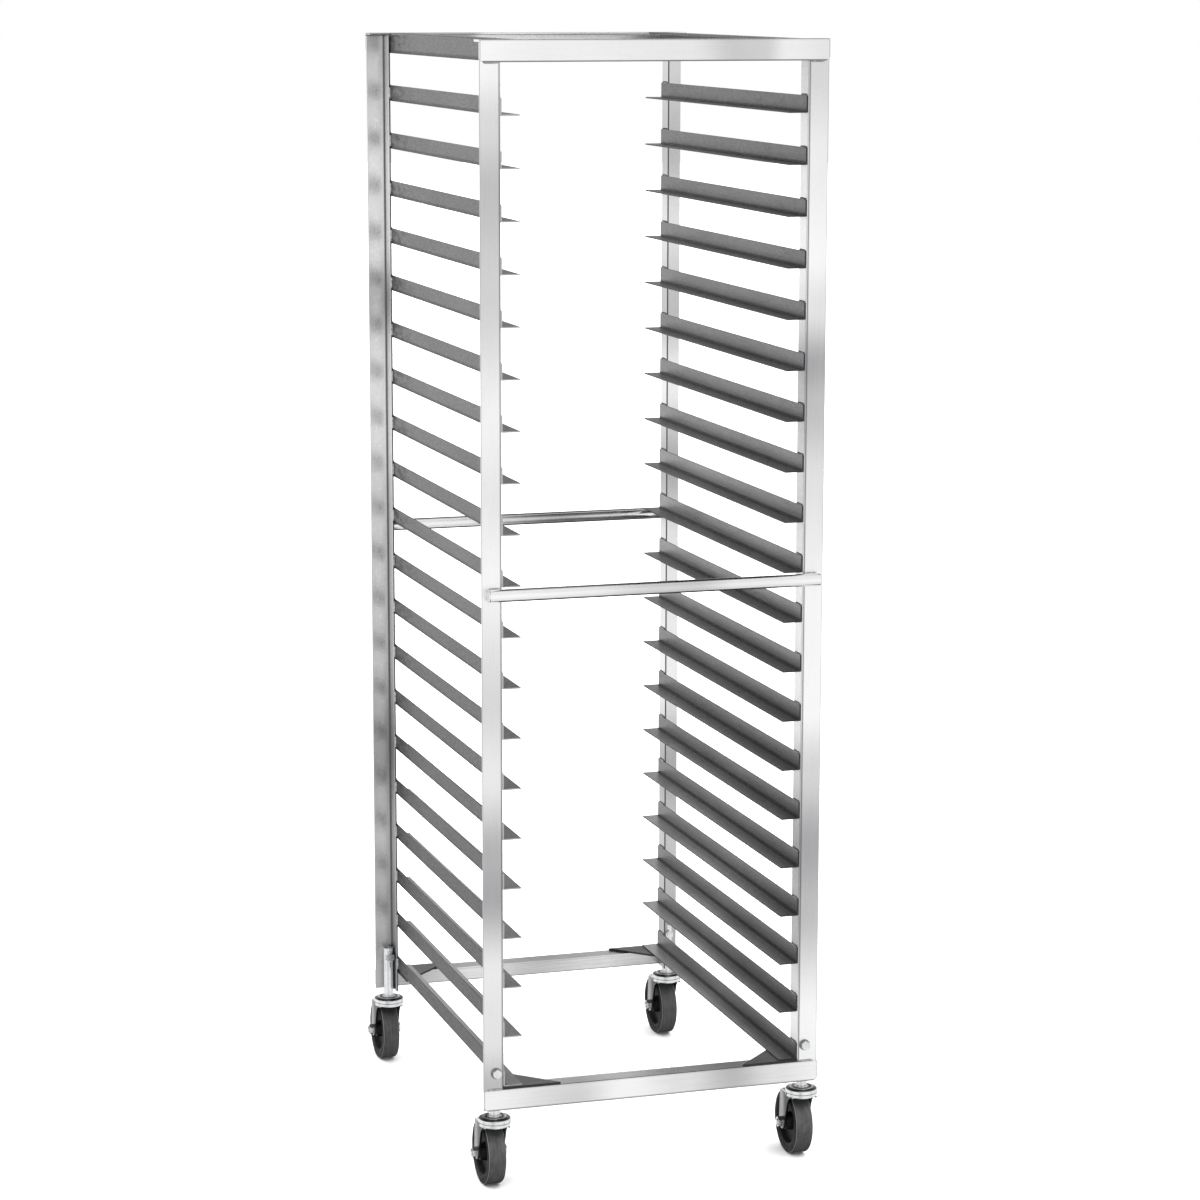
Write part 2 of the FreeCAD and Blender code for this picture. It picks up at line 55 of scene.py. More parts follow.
LEDGE_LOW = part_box("ledge_pair_20")[0][Z]
LEDGE_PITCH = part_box("ledge_pair_19")[0][Z] - LEDGE_LOW
LEDGE_HEEL_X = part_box("ledge_pair_20")[1][X]

CUP_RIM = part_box("caster_fork_front_left")[1][Z]
CUP_LOW = CUP_RIM - 0.0056
CAP_RIM = CUP_RIM + 0.0006
CAP_TOP = CUP_RIM + 0.0086

# Where painted shade fades out: up from a ledge's foot, in from its heel, and out from a post's root
LEDGE_FOOT_SHADE = (0.0034, 0.0064)
LEDGE_HEEL_SHADE = (0.008, 0.004)
POST_ROOT_SHADE = (0.0012, 0.0028)
# Where the left ledges' stains set in, along Y, and where a fork's painted shade lightens, behind its front
LEDGE_STAINS = (0.16, 0.31)
FORK_FRONT_SHADE = (0.040, 0.054)


# ---------------------------------------------------------------- tones of the metal

# Painted reflection: soft bands along a bar, as (place, level): 0 is its dark tone and 1 its light tone
TOP_RAIL_REFLECTION_BANDS = (
    (-0.267, 1.0), (-0.17, 0.85), (0.05, 0.72), (0.118, 0.38), (0.165, 0.45), (0.20, 0.85), (0.267, 0.68),
)
LOW_RAIL_REFLECTION_BANDS = (
    (-0.267, 0.85), (-0.12, 0.52), (-0.05, 0.95), (0.05, 0.60), (0.130, 0.15), (0.20, 0.62), (0.267, 0.9),
)
REAR_RAIL_REFLECTION_BANDS = ((-0.24, 0.1), (-0.10, 0.15), (-0.07, 0.95), (0.08, 0.85), (0.16, 0.9), (0.24, 0.8))
REAR_LOW_REFLECTION_BANDS = ((-0.24, 0.2), (-0.08, 0.7), (0.02, 0.35), (0.11, 0.65), (0.24, 0.2))
BAR_REFLECTION_BANDS = ((-0.25, 0.95), (-0.12, 0.8), (0.0, 0.35), (0.06, 0.25), (0.13, 0.75), (0.25, 0.85))
# Painted reflection bands up each post, as (place, level)
POST_REFLECTION_BANDS = {
    "front_left": (
        (0.16, 0.2), (0.24, 0.75), (0.34, 0.85), (0.46, 0.05), (0.52, 0.15), (0.64, 0.8), (0.75, 0.55),
        (0.94, 0.98), (1.06, 0.75), (1.18, 0.9), (1.36, 0.5), (1.51, 0.3), (1.60, 0.6), (1.68, 1.0),
    ),
    "front_right": (
        (0.16, 0.9), (0.22, 0.95), (0.40, 0.2), (0.50, 0.0), (0.62, 0.5), (0.72, 1.0), (0.86, 1.0),
        (1.06, 0.7), (1.18, 0.3), (1.24, 0.05), (1.32, 0.7), (1.40, 1.0), (1.54, 0.82), (1.68, 0.5),
    ),
    "rear_left": (
        (0.16, 0.1), (0.25, 0.35), (0.40, 0.55), (0.54, 0.1), (0.70, 0.6), (0.94, 0.75), (1.08, 1.0),
        (1.20, 0.85), (1.29, 0.3), (1.38, 0.9), (1.48, 1.0), (1.60, 0.8), (1.68, 0.6),
    ),
    "rear_right": (
        (0.16, 0.1), (0.34, 0.3), (0.48, 0.0), (0.64, 0.9), (0.86, 0.8), (1.00, 0.1), (1.14, 0.9),
        (1.26, 0.2), (1.40, 0.7), (1.53, 0.2), (1.68, 0.5),
    ),
}

# Painted reflection and shade on the ledges, as (place, grey): up the rack for upright flanges and for
# flange tops; then the share of a flange top's grey that is left from its front to its rear, darker towards
# the front
LEFT_LEDGE_SHADE_BANDS = ((0.16, 0.045), (0.32, 0.04), (0.62, 0.08), (0.93, 0.135), (1.23, 0.145), (1.72, 0.145))
RIGHT_LEDGE_SHADE_BANDS = ((0.16, 0.18), (0.32, 0.20), (0.62, 0.20), (0.93, 0.31), (1.23, 0.205), (1.72, 0.145))
FLANGE_SHADE_BANDS = ((0.16, 0.68), (0.40, 0.60), (0.62, 0.34), (0.93, 0.17), (1.54, 0.17), (1.72, 0.30))
FLANGE_FRONT_FADE = ((-0.34, 0.45), (-0.12, 0.70), (0.05, 1.0), (0.34, 0.9))

# Painted dark lines along edges, standing in for dark edge reflections, as (axis, distance from the middle
# plane, width, grey)
TOP_EDGES = ((Z, TOP_RAIL_LOW, 0.0026, 0.18), (X, RAIL_END, 0.0016, 0.45))
BOTTOM_EDGES = ((Z, BOTTOM_RAIL_LOW, 0.0026, 0.24), (X, RAIL_END, 0.0016, 0.45))
POST_EDGES = ((X, POST_HEEL_X, 0.0042, 0.10), (X, RAIL_END, 0.0014, 0.50))

EDGE_CORE = 0.4  # the share of such a line that is fully dark

FRAME_DARK, FRAME_LIGHT = (0.42, 0.42, 0.43), (0.99, 0.99, 0.99)


# ---------------------------------------------------------------- shader helpers

def grey(level):
    """A colour with the same red, green and blue."""
    return (level, level, level)


def new_material(name):
    """An empty node material and its Principled shader."""
    material = bpy.data.materials.new(name)
    material.use_nodes = True
    tree = material.node_tree
    tree.nodes.clear()
    output = tree.nodes.new("ShaderNodeOutputMaterial")
    shader = tree.nodes.new("ShaderNodeBsdfPrincipled")
    tree.links.new(shader.outputs["BSDF"], output.inputs["Surface"])
    return material, tree, shader


def noise(tree, scale, stretch=(1, 1, 1), detail=2.0, rough=0.5, offset=(0, 0, 0)):
    """Noise in the object's own coordinates, stretched by a scale for each axis."""
    coords = tree.nodes.new("ShaderNodeTexCoord")
    mapping = tree.nodes.new("ShaderNodeMapping")
    mapping.inputs["Scale"].default_value = stretch
    mapping.inputs["Location"].default_value = offset
    texture = tree.nodes.new("ShaderNodeTexNoise")
    texture.inputs["Scale"].default_value = scale
    texture.inputs["Detail"].default_value = detail
    texture.inputs["Roughness"].default_value = rough
    tree.links.new(coords.outputs["Object"], mapping.inputs["Vector"])
    tree.links.new(mapping.outputs["Vector"], texture.inputs["Vector"])
    return texture.outputs["Fac"]


def component(tree, output, axis):
    """One axis of a Texture Coordinate output, such as the object's own coordinates."""
    coords = tree.nodes.new("ShaderNodeTexCoord")
    split = tree.nodes.new("ShaderNodeSeparateXYZ")
    tree.links.new(coords.outputs[output], split.inputs[0])
    return split.outputs[axis]


def mapped(tree, value, source, target=(0.0, 1.0)):
    """A value moved from one range to another and held there."""
    node = tree.nodes.new("ShaderNodeMapRange")
    node.inputs["From Min"].default_value = source[0]
    node.inputs["From Max"].default_value = source[1]
    node.inputs["To Min"].default_value = target[0]
    node.inputs["To Max"].default_value = target[1]
    tree.links.new(value, node.inputs["Value"])
    return node.outputs["Result"]


def combined(tree, operation, a, b):
    """Two values put together by a Math node; b may be a number."""
    node = tree.nodes.new("ShaderNodeMath")
    node.operation = operation
    tree.links.new(a, node.inputs[0])
    if isinstance(b, (int, float)):
        node.inputs[1].default_value = b
    else:
        tree.links.new(b, node.inputs[1])
    return node.outputs[0]


def scaled(tree, value, factor):
    """A value times a number or another value."""
    return combined(tree, "MULTIPLY", value, factor)


def weighted(tree, a, b, share):
    """The mean of two values, with a's share of it."""
    return combined(tree, "ADD", scaled(tree, a, share), scaled(tree, b, round(1 - share, 3)))


def absolute(tree, value):
    """The size of a value without its sign."""
    return combined(tree, "MAXIMUM", value, scaled(tree, value, -1.0))


def distance(tree, value, place):
    """How far a value is from a place."""
    return absolute(tree, combined(tree, "SUBTRACT", value, place))


def off_middle(tree, axis):
    """How far a point is from the rack's middle plane across an axis."""
    return absolute(tree, component(tree, "Object", axis))


def facing(tree, axis, source):
    """1 on faces that look along an axis, either way, and 0 on the rest."""
    return mapped(tree, absolute(tree, component(tree, "Normal", axis)), source)


def blended(tree, factor, dark, light):
    """A colour between two, by a factor; either may be a colour or a node's output."""
    node = tree.nodes.new("ShaderNodeMix")
    node.data_type = "RGBA"
    for socket, colour in (("A", dark), ("B", light)):
        if isinstance(colour, tuple):
            node.inputs[socket].default_value = (*colour, 1)
        else:
            tree.links.new(colour, node.inputs[socket])
    tree.links.new(factor, node.inputs["Factor"])
    return node.outputs["Result"]


def bands(tree, axis, stops):
    """Soft bands of brightness along an axis: stops are (place in metres, level)."""
    low, high = stops[0][0], stops[-1][0]
    place = mapped(tree, component(tree, "Object", axis), (low, high))
    ramp = tree.nodes.new("ShaderNodeValToRGB")
    ramp.color_ramp.interpolation = "EASE"
    elements = ramp.color_ramp.elements
    first, last = elements[0], elements[1]
    first.color = (*grey(stops[0][1]), 1)
    last.color = (*grey(stops[-1][1]), 1)
    for at, level in stops[1:-1]:
        elements.new((at - low) / (high - low)).color = (*grey(level), 1)
    tree.links.new(place, ramp.inputs["Fac"])
    return ramp.outputs["Color"]


def bump(tree, shader, height, strength, depth):
    """Relief from a height value."""
    node = tree.nodes.new("ShaderNodeBump")
    node.inputs["Strength"].default_value = strength
    node.inputs["Distance"].default_value = depth
    tree.links.new(height, node.inputs["Height"])
    tree.links.new(node.outputs["Normal"], shader.inputs["Normal"])


def finish_metal(tree, shader, colour, roughness):
    """Give a metal its colour and roughness."""
    shader.inputs["Metallic"].default_value = 1.0
    tree.links.new(colour, shader.inputs["Base Color"])
    tree.links.new(roughness, shader.inputs["Roughness"])


# ---------------------------------------------------------------- materials

def painted_edge_line(tree, colour, axis, place, width, level):
    """A thin painted dark line, standing in for an edge's dark reflection, at a place off the middle, on
    faces that don't look along its axis.
    """
    beyond = mapped(tree, distance(tree, off_middle(tree, axis), place), (width * EDGE_CORE, width))
    unpainted = combined(tree, "MAXIMUM", beyond, facing(tree, axis, (0.3, 0.6)))
    return blended(tree, unpainted, grey(level), colour)


def shaded_root(tree, colour, root):
    """Painted shade in the inner corner of an upright angle at the place (x, y)."""
    off_x = distance(tree, off_middle(tree, X), root[0])
    off_y = distance(tree, off_middle(tree, Y), root[1])
    unpainted = mapped(tree, combined(tree, "MAXIMUM", off_x, off_y), POST_ROOT_SHADE)
    return blended(tree, unpainted, grey(0.16), colour)


def drawn_metal(name, axis, tones, roughness, stops, spread, edges=(), root=None):
    """Extruded aluminium: die lines along one axis, soft clouds, painted reflection bands and painted dark
    edge lines.

    tones are its dark and light colours, and spread is how far the lines and clouds move the tone. root
    is the place (x, y) of a post's inner corner, where shade is painted.
    """
    material, tree, shader = new_material(name)
    along = [40.0] * 3
    along[axis] = 0.6
    soft = [1.0] * 3
    soft[axis] = 0.35
    lines = noise(tree, 22.0, stretch=along, detail=3.0, rough=0.6)
    clouds = noise(tree, 9.0, stretch=soft, detail=3.0, offset=(3.1, 1.7, 0.4))
    marks = noise(tree, 160.0)
    tone = mapped(tree, weighted(tree, lines, clouds, 0.4), (0.35, 0.65), (-spread, spread))
    # painted reflection bands, moved by the lines and clouds
    factor = combined(tree, "ADD", bands(tree, axis, stops), tone)
    factor.node.use_clamp = True
    colour = blended(tree, factor, *tones)
    # painted dark lines along edges, standing in for dark edge reflections
    for edge in edges:
        colour = painted_edge_line(tree, colour, *edge)
    # painted shade in a post's inner corner
    if root:
        colour = shaded_root(tree, colour, root)
    polish = mapped(tree, weighted(tree, lines, marks, 0.6), (0.3, 0.7), roughness)
    finish_metal(tree, shader, colour, polish)
    bump(tree, shader, lines, strength=0.25, depth=0.0004)
    return material


def ledge_metal(name):
    """Dull aluminium along Y: streaks and stained rear ends, with painted shade and reflection up the rack,
    at each upright's foot, near each flange's heel and on the right cut ends, and flange tops darker towards
    the front.
    """
    material, tree, shader = new_material(name)
    streaks = noise(tree, 26.0, stretch=(44, 0.5, 44), detail=4.0, rough=0.65)
    clouds = noise(tree, 10.0, stretch=(1, 0.4, 1), detail=3.0, rough=0.55, offset=(1.3, 0.2, 2.4))
    specks = noise(tree, 320.0, stretch=(1, 0.3, 1))
    stains = noise(tree, 34.0, stretch=(1, 1, 3), detail=3.0, rough=0.6, offset=(0.7, 0.1, 1.9))
    across, along, height = (component(tree, "Object", axis) for axis in (X, Y, Z))

    # painted reflection and shade: uprights graded up the rack, with their own levels on the right
    on_right = mapped(tree, across, (-0.01, 0.01))
    side = blended(tree, on_right, bands(tree, Z, LEFT_LEDGE_SHADE_BANDS), bands(tree, Z, RIGHT_LEDGE_SHADE_BANDS))
    above_foot = combined(tree, "MODULO", combined(tree, "SUBTRACT", height, LEDGE_LOW), LEDGE_PITCH)
    # painted shade at the foot of each upright
    side = scaled(tree, side, mapped(tree, above_foot, LEDGE_FOOT_SHADE, (0.20, 1.0)))
    left_rear = scaled(tree, mapped(tree, along, LEDGE_STAINS), combined(tree, "LESS_THAN", across, 0.0))
    stained = mapped(tree, stains, (0.42, 0.56), (0.25, 1.6))
    side = scaled(tree, side, blended(tree, left_rear, grey(1.0), stained))

    # flange tops: painted reflection and shade up the rack, darker towards the front
    top = scaled(tree, bands(tree, Z, FLANGE_SHADE_BANDS), bands(tree, Y, FLANGE_FRONT_FADE))
    near_heel = [LEDGE_HEEL_X - reach for reach in LEDGE_HEEL_SHADE]
    # painted shade near each flange's heel
    top = scaled(tree, top, mapped(tree, off_middle(tree, X), near_heel, (1.0, 0.35)))

    upward = mapped(tree, component(tree, "Normal", Z), (0.6, 0.95))
    tone = mapped(tree, weighted(tree, streaks, clouds, 0.6), (0.36, 0.64), (0.74, 1.26))
    level = scaled(tree, blended(tree, upward, side, top), tone)
    # cut ends: painted near black on the right as shade
    cut_end_shade = blended(tree, on_right, grey(0.50), grey(0.06))
    colour = blended(tree, facing(tree, Y, (0.6, 0.9)), level, cut_end_shade)
    roughness = mapped(tree, combined(tree, "ADD", streaks, specks), (0.7, 1.3), (0.26, 0.42))
    finish_metal(tree, shader, colour, roughness)
    bump(tree, shader, combined(tree, "ADD", streaks, scaled(tree, specks, 0.4)), strength=0.35, depth=0.0004)
    return material


def plate_base(name, tones, roughness, grain):
    """Plated or pressed steel, cloudy with a fine grain, and what is needed to paint more on it, such as
    shade.
    """
    material, tree, shader = new_material(name)
    clouds = noise(tree, 60.0, detail=4.0, rough=0.6)
    fine = noise(tree, grain)
    colour = blended(tree, mapped(tree, clouds, (0.3, 0.7)), *tones)
    finish_metal(tree, shader, colour, mapped(tree, fine, (0.3, 0.7), roughness))
    bump(tree, shader, fine, strength=0.15, depth=0.0002)
    return material, tree, shader, colour


def plated_steel(name, tones, roughness, grain):
    """Clean plated steel."""
    return plate_base(name, tones, roughness, grain)[0]


def raceway_steel(name):
    """The stem and its cap: bright plate, with the cap's up-facing dished top painted dark in patches as a
    reflection, and a dark seam at its rim.
    """
    bright = ((0.74, 0.75, 0.76), (0.92, 0.93, 0.94))
    material, tree, shader, colour = plate_base(name, bright, (0.20, 0.34), 700.0)
    height = component(tree, "Object", Z)
    # painted reflection: up-facing surfaces of the dished top darkened in patches
    facing_up = mapped(tree, component(tree, "Normal", Z), (0.45, 0.8))
    below_ring = mapped(tree, height, (CAP_TOP - 0.0004, CAP_TOP - 0.0001), (1.0, 0.0))
    patches = mapped(tree, noise(tree, 120.0, detail=4.0, rough=0.6), (0.3, 0.6), (0.7, 1.0))
    dark_top_reflection = scaled(tree, scaled(tree, facing_up, below_ring), patches)
    seam = mapped(tree, height, (CAP_RIM, CAP_RIM + 0.0007), (0.75, 0.0))
    dark_top_and_seam = combined(tree, "MAXIMUM", dark_top_reflection, seam)
    tree.links.new(blended(tree, dark_top_and_seam, colour, (0.10, 0.10, 0.095)), shader.inputs["Base Color"])
    return material


def fork_plate(name, front_y):
    """Pressed steel: legs painted dark as shade, near black in front and lighter behind, and a bright raceway
    cup.
    """
    leg_shade_tones = ((0.28, 0.28, 0.29), (0.46, 0.46, 0.47))
    material, tree, shader, colour = plate_base(name, leg_shade_tones, (0.26, 0.40), 500.0)
    from_front = combined(tree, "SUBTRACT", component(tree, "Object", Y), front_y)
    # painted shade: the fork near black at its front, lighter behind
    colour = blended(tree, mapped(tree, from_front, FORK_FRONT_SHADE), grey(0.04), colour)
    in_cup = mapped(tree, component(tree, "Object", Z), (CUP_LOW, CUP_LOW + 0.0006))
    off_flat = mapped(tree, absolute(tree, component(tree, "Normal", X)), (0.985, 0.999), (1.0, 0.0))
    bright = scaled(tree, in_cup, off_flat)
    tree.links.new(blended(tree, bright, colour, (0.88, 0.89, 0.90)), shader.inputs["Base Color"])
    return material


def sheared_plate(name):
    """Gusset plate: streaked grey faces painted dark as shade, and dark sheared edges."""
    material, tree, shader = new_material(name)
    lines = noise(tree, 24.0, stretch=(0.6, 40, 40), detail=4.0, rough=0.65)
    clouds = noise(tree, 40.0, detail=4.0, rough=0.6)
    tone = weighted(tree, lines, clouds, 0.5)
    # painted shade: the plate's faces far darker than the frame's aluminium
    faces = blended(tree, mapped(tree, tone, (0.38, 0.62)), grey(0.14), (0.36, 0.36, 0.37))
    colour = blended(tree, facing(tree, Z, (0.5, 0.9)), grey(0.05), faces)
    finish_metal(tree, shader, colour, mapped(tree, clouds, (0.3, 0.7), (0.30, 0.46)))
    bump(tree, shader, tone, strength=0.3, depth=0.0004)
    return material


def moulded_plastic(name):
    """Matt black moulded plastic: a fine grain with dusty clouds."""
    material, tree, shader = new_material(name)
    dust = noise(tree, 45.0, detail=5.0, rough=0.65)
    fine = noise(tree, 900.0, detail=3.0, rough=0.6)
    colour = blended(tree, mapped(tree, dust, (0.35, 0.7)), grey(0.006), grey(0.018))
    shader.inputs["Specular IOR Level"].default_value = 0.15
    tree.links.new(colour, shader.inputs["Base Color"])
    tree.links.new(mapped(tree, dust, (0.3, 0.7), (0.45, 0.65)), shader.inputs["Roughness"])
    bump(tree, shader, fine, strength=0.4, depth=0.0002)
    return material


def tread_rubber(name):
    """Rubber: black sidewalls, a painted highlight on the shoulders, and a dusty tread scuffed round the
    wheel.
    """
    material, tree, shader = new_material(name)
    across = absolute(tree, component(tree, "Normal", X))
    tread = mapped(tree, across, (0.3, 0.5), (1.0, 0.0))
    shoulder_highlight = scaled(tree, mapped(tree, across, (0.45, 0.6)), mapped(tree, across, (0.75, 0.92), (1.0, 0.0)))
    dust = noise(tree, 60.0, detail=5.0, rough=0.65)
    scuffs = noise(tree, 90.0, stretch=(5.0, 0.5, 0.5), detail=4.0, rough=0.6)
    fine = noise(tree, 600.0, detail=3.0, rough=0.6)
    worn = mapped(tree, weighted(tree, dust, scuffs, 0.5), (0.35, 0.65))
    colour = blended(tree, tread, grey(0.004), blended(tree, worn, grey(0.045), grey(0.10)))
    # painted highlight on the shoulders
    colour = blended(tree, shoulder_highlight, colour, grey(0.20))
    shader.inputs["Specular IOR Level"].default_value = 0.15
    tree.links.new(colour, shader.inputs["Base Color"])
    tree.links.new(mapped(tree, dust, (0.3, 0.7), (0.5, 0.7)), shader.inputs["Roughness"])
    bump(tree, shader, combined(tree, "ADD", fine, scuffs), strength=0.4, depth=0.0003)
    return material


def weld_metal(name):
    """Cast weld bead: bright ripples with grey soot."""
    material, tree, shader = new_material(name)
    soot = noise(tree, 220.0, detail=4.0, rough=0.6)
    fine = noise(tree, 900.0)
    colour = blended(tree, mapped(tree, soot, (0.35, 0.65)), grey(0.34), grey(0.78))
    finish_metal(tree, shader, colour, mapped(tree, fine, (0.3, 0.7), (0.32, 0.5)))
    bump(tree, shader, fine, strength=0.3, depth=0.0003)
    return material


# ---------------------------------------------------------------- a material for every CAD node

def rail_metal(name, stops, spread, edges, roughness=(0.24, 0.36)):
    """The frame's aluminium, drawn along X."""
    return drawn_metal(name, X, (FRAME_DARK, FRAME_LIGHT), roughness, stops, spread, edges)


def post_metal(corner):
    """The frame's aluminium, drawn along Z, with one post's own painted reflection bands."""
    tones = (FRAME_DARK, FRAME_LIGHT)
    stops = POST_REFLECTION_BANDS[corner]
    return drawn_metal("aluminium_post_" + corner, Z, tones, (0.24, 0.38), stops, 0.09, POST_EDGES, POST_ROOT)


def caster_fork_steel(end):
    """The fork's steel for one end of the rack, where the forks' fronts share a place."""
    return fork_plate("fork_steel_" + end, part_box("caster_fork_" + end + "_left")[0][Y])


ledge_grey = ledge_metal("ledge_aluminium")
zinc = plated_steel("zinc_plate", ((0.66, 0.67, 0.68), (0.86, 0.87, 0.88)), (0.18, 0.32), 700.0)
# washers painted dark, standing in for the shade round each stem bolt's head
washer_zinc_shaded = plated_steel("zinc_plate_washer", (grey(0.22), grey(0.44)), (0.3, 0.45), 800.0)
bearing_tones = ((0.50, 0.49, 0.46), grey(0.72))
bar_tones = ((0.55, 0.55, 0.56), FRAME_LIGHT)

# The start of a node's name and its look; the first that fits is used
LOOKS = (
    ("top_rail_front", rail_metal("aluminium_top_front", TOP_RAIL_REFLECTION_BANDS, 0.10, TOP_EDGES)),
    ("bottom_rail_front", rail_metal("aluminium_low_front", LOW_RAIL_REFLECTION_BANDS, 0.14, BOTTOM_EDGES)),
    ("top_rail_rear", rail_metal("aluminium_top_rear", REAR_RAIL_REFLECTION_BANDS, 0.12, TOP_EDGES)),
    ("bottom_rail_rear", rail_metal("aluminium_low_rear", REAR_LOW_REFLECTION_BANDS, 0.3, BOTTOM_EDGES, (0.24, 0.38))),
    *(("post_" + corner, post_metal(corner)) for corner in CORNERS),
    # the side rails take the ledges' darker look, standing in for shade on the frame's aluminium
    ("top_rail_left", ledge_grey),
    ("top_rail_right", ledge_grey),
    ("cross_bar_", drawn_metal("aluminium_bar", X, bar_tones, (0.16, 0.26), BAR_REFLECTION_BANDS, 0.1)),
    ("ledge_pair_", ledge_grey),
    ("corner_gussets", sheared_plate("aluminium_plate")),
    ("stem_washers", washer_zinc_shaded),
    ("stem_", zinc),
    ("caster_stem_", raceway_steel("zinc_plate_raceway")),
    ("swivel_balls_", plated_steel("bearing_steel", bearing_tones, (0.10, 0.25), 900.0)),
    ("caster_fork_front", caster_fork_steel("front")),
    ("caster_fork_rear", caster_fork_steel("rear")),
    ("wheel_axle_", zinc),
    ("wheel_core_", moulded_plastic("wheel_plastic")),
    ("wheel_tyre_", tread_rubber("tyre_rubber")),
)
for name, node in NODES.items():
    look = next(material for start, material in LOOKS if name.startswith(start))
    node.data.materials.clear()
    node.data.materials.append(look)


# ---------------------------------------------------------------- weld beads

BEAD_ARC = 5            # points on a bead's rounded face
BEAD_STEP = 0.0016      # one ripple
BEAD_RINGS = 3          # rings to a ripple
BEAD_FEWEST_RINGS = 8
BEAD_TAPER = 6          # how steeply a bead grows from its ends
BEAD_END = 0.35         # its thickness at the very end
BEAD_HOLLOW = 0.14      # how far its face sinks below round
RIPPLE_HEIGHT = 0.10
RIPPLE_UNEVEN = 0.06
UNEVEN_TURN = 7.3       # from one ring to the next, in radians
UNEVEN_START = 40       # radians for each metre of height, so that no two beads match

LEDGE_TOP_BEAD = 0.0022
LEDGE_END_BEAD = 0.0026
RAIL_BEAD = 0.0024
BAR_BEAD = 0.0042
BAR_BEAD_PLACE = 0.62   # above and below the bar's axis, as a share of its radius


def bead(vertices, faces, start, end, side_a, side_b, size):
    """Add a rippled fillet bead along a corner; side_a and side_b point out along its two faces."""
    start, end, side_a, side_b = (Vector(v) for v in (start, end, side_a, side_b))
    length = (end - start).length
    rings = max(BEAD_FEWEST_RINGS, int(length / BEAD_STEP) * BEAD_RINGS)
    first = len(vertices)
    points = BEAD_ARC + 1
    for i in range(rings + 1):
        t = i / rings
        taper = min(1.0, BEAD_END + BEAD_TAPER * min(t, 1 - t))
        even = RIPPLE_HEIGHT * math.cos(2 * math.pi * i / BEAD_RINGS)
        uneven = RIPPLE_UNEVEN * math.sin(UNEVEN_TURN * i + UNEVEN_START * start.z)
        ripple = 1.0 + even + uneven
        centre = start.lerp(end, t)
        vertices.append(centre)
        for k in range(BEAD_ARC):
            turn = math.pi / 2 * k / (BEAD_ARC - 1)
            bulge = size * taper * ripple * (1 - BEAD_HOLLOW * math.sin(2 * turn))
            vertices.append(centre + side_a * (bulge * math.cos(turn)) + side_b * (bulge * math.sin(turn)))
    for i in range(rings):
        low, high = first + i * points, first + (i + 1) * points
        for k in range(points):
            nxt = (k + 1) % points
            faces.append((low + k, low + nxt, high + nxt, high + k))
    faces.append(tuple(first + k for k in range(points)))
    faces.append(tuple(first + rings * points + k for k in reversed(range(points))))


def bead_object(name, runs, material):
    """One mesh of weld beads on the frame."""
    vertices, faces = [], []
    for run in runs:
        bead(vertices, faces, *run)
    mesh = bpy.data.meshes.new(name)
    mesh.from_pydata(vertices, [], faces)
    mesh.validate()
    shell = bmesh.new()
    shell.from_mesh(mesh)
    bmesh.ops.recalc_face_normals(shell, faces=shell.faces)
    shell.to_mesh(mesh)
    shell.free()
    mesh.polygons.foreach_set("use_smooth", [True] * len(mesh.polygons))
    mesh.materials.append(material)
    piece = bpy.data.objects.new(name, mesh)
    bpy.context.scene.collection.objects.link(piece)
    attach(piece, "rack_frame")


def corner_lines(name):
    """A post's inner x, outer x, outer y and the y of its toe."""
    side, end = CORNERS[name]
    low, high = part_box("post_" + name)
    inner_x, outer_x = (low[X], high[X]) if side > 0 else (high[X], low[X])
    outer_y, toe_y = (high[Y], low[Y]) if end > 0 else (low[Y], high[Y])
    return inner_x, outer_x, outer_y, toe_y


def ledge_welds():
    """Each ledge is welded to a post along its top edge and down the post's toe."""
    heel_gap, toe_gap = 0.005, 0.002
    foot_gap, head_gap = 0.003, 0.002
    ledges = sorted(name for name in NODES if name.startswith("ledge_pair_"))
    runs = []
    for name, (side, end) in CORNERS.items():
        inner_x, _, outer_y, toe_y = corner_lines(name)
        for ledge in ledges:
            low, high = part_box(ledge)
            heel = (inner_x, outer_y - end * heel_gap, high[Z])
            toe = (inner_x, toe_y + end * toe_gap, high[Z])
            foot = (inner_x, toe_y, low[Z] + foot_gap)
            head = (inner_x, toe_y, high[Z] - head_gap)
            runs.append((heel, toe, (-side, 0, 0), (0, 0, 1), LEDGE_TOP_BEAD))
            runs.append((foot, head, (side, 0, 0), (0, -end, 0), LEDGE_END_BEAD))
    return runs


def rail_welds():
    """Rails and bars are welded across the outer faces of the posts."""
    inner_gap, outer_gap, bar_gap = 0.003, 0.006, 0.002
    runs = []
    for name, (side, end) in CORNERS.items():
        inner_x, outer_x, outer_y, _ = corner_lines(name)
        place = "front" if end < 0 else "rear"
        out = (0, end, 0)
        near, far = inner_x + side * inner_gap, outer_x - side * outer_gap
        top_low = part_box("top_rail_" + place)[0][Z]
        bottom_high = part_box("bottom_rail_" + place)[1][Z]
        runs.append(((near, outer_y, top_low), (far, outer_y, top_low), out, (0, 0, -1), RAIL_BEAD))
        runs.append(((near, outer_y, bottom_high), (far, outer_y, bottom_high), out, (0, 0, 1), RAIL_BEAD))
        bar_low, bar_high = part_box("cross_bar_" + place)
        bar_z, bar_radius = (bar_low[Z] + bar_high[Z]) / 2, (bar_high[Z] - bar_low[Z]) / 2
        bar_end = min(abs(bar_low[X]), abs(bar_high[X])) * side - side * bar_gap
        for up in (-1, 1):
            z = bar_z + up * bar_radius * BAR_BEAD_PLACE
            runs.append(((near, outer_y, z), (bar_end, outer_y, z), out, (0, 0, up), BAR_BEAD))
    return runs


weld = weld_metal("aluminium_weld")
bead_object("ledge_weld_beads", ledge_welds(), weld)
bead_object("rail_weld_beads", rail_welds(), weld)


